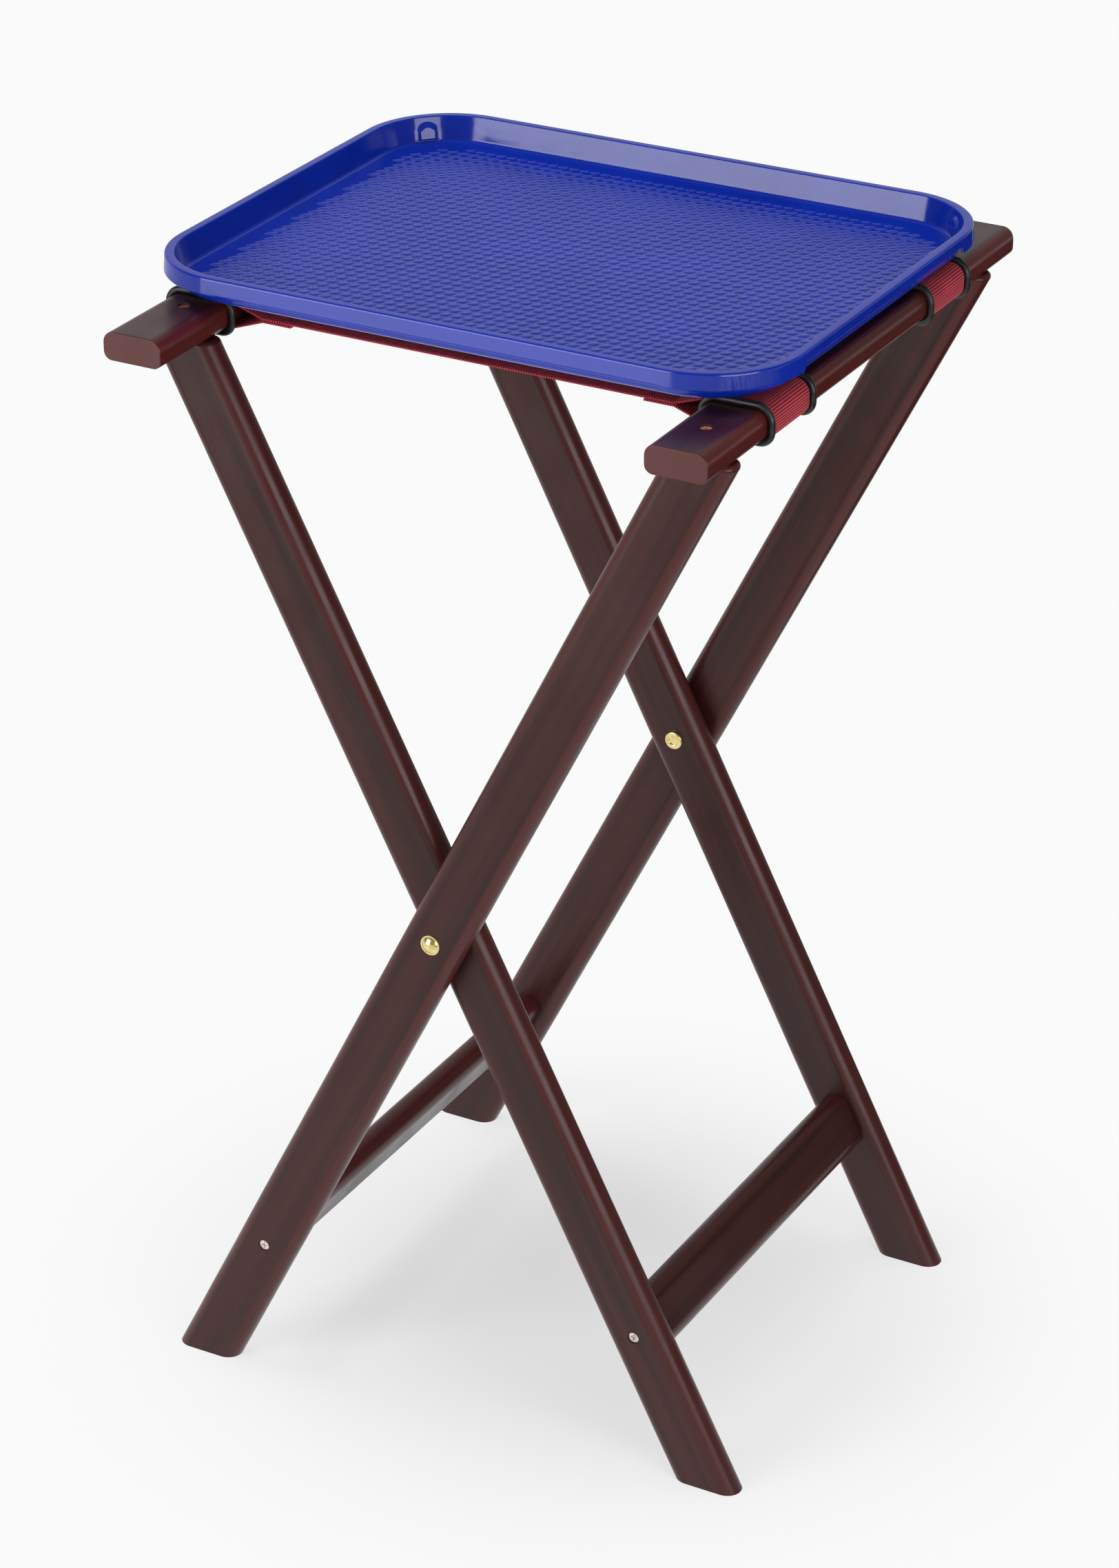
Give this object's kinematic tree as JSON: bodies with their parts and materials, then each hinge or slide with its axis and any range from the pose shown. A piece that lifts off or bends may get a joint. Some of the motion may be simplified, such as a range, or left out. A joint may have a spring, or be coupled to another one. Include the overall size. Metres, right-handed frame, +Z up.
{
  "type": "tray on folding stand",
  "caption": "Rectangular plastic serving tray on a folding wooden X-leg stand with webbing straps between its rails.",
  "frame": {"origin": "on the floor, in the middle between the four feet", "axes": "+Z up, +X along the straps towards the outer frame's rail, +Y along the rails"},
  "size_m": [0.45, 0.444, 0.8055],
  "materials": {
    "stained_wood": "satin",
    "webbing": "woven",
    "rubber": "satin",
    "brass": "polished",
    "copper_screw": "satin",
    "zinc_screw": "satin",
    "tray_plastic": "gloss"
  },
  "bodies": {
    "outer_frame": {"leg_outer_near": "stained_wood", "leg_outer_far": "stained_wood", "rail_right": "stained_wood", "stretcher_outer": "stained_wood", "rail_screws_right": "copper_screw", "stretcher_screws_outer": "zinc_screw", "pivot_rivet_near": "brass", "pivot_rivet_far": "brass", "pivot_washer_near": "brass", "pivot_washer_far": "brass", "rubber_ring_right_1": "rubber", "rubber_ring_right_2": "rubber", "rubber_ring_right_3": "rubber", "rubber_ring_right_4": "rubber", "strap_loop_right_near": "webbing", "strap_loop_right_far": "webbing"},
    "inner_frame": {"leg_inner_near": "stained_wood", "leg_inner_far": "stained_wood", "rail_left": "stained_wood", "stretcher_inner": "stained_wood", "rail_screws_left": "copper_screw", "stretcher_screws_inner": "zinc_screw", "rubber_ring_left_1": "rubber", "rubber_ring_left_2": "rubber", "rubber_ring_left_3": "rubber", "rubber_ring_left_4": "rubber", "strap_loop_left_near": "webbing", "strap_loop_left_far": "webbing"},
    "straps_left": {"strap_span_left_near": "webbing", "strap_span_left_far": "webbing"},
    "straps_right": {"strap_span_right_near": "webbing", "strap_span_right_far": "webbing"},
    "tray": {"tray": "tray_plastic"}
  },
  "joints": [
    {"name": "fold", "type": "hinge", "parent": "outer_frame", "child": "inner_frame", "pos_m": [0, 0, 0.38025], "axis": [0, 1, 0], "range_deg": [0, 44], "deforming": ["strap_span_left_near", "strap_span_left_far", "strap_span_right_near", "strap_span_right_far"]},
    {"name": "strap_fold_left", "type": "hinge", "parent": "inner_frame", "child": "straps_left", "pos_m": [-0.1715, 0, 0.77025], "axis": [0, 1, 0], "range_deg": [0, 63.7]},
    {"name": "strap_fold_right", "type": "hinge", "parent": "outer_frame", "child": "straps_right", "pos_m": [0.1715, 0, 0.77025], "axis": [0, -1, 0], "range_deg": [0, 63.7]},
    {"name": "tray_lift", "type": "slide", "parent": "outer_frame", "child": "tray", "axis": [0, 0, 1], "range_m": [0, 0.193]}
  ],
  "couplings": [
    {"joint": "strap_fold_left", "follows": "fold", "ratio": 1.447},
    {"joint": "strap_fold_right", "follows": "fold", "ratio": 1.447},
    {"joint": "tray_lift", "follows": "fold", "m_per_rad": 0.25}
  ]
}
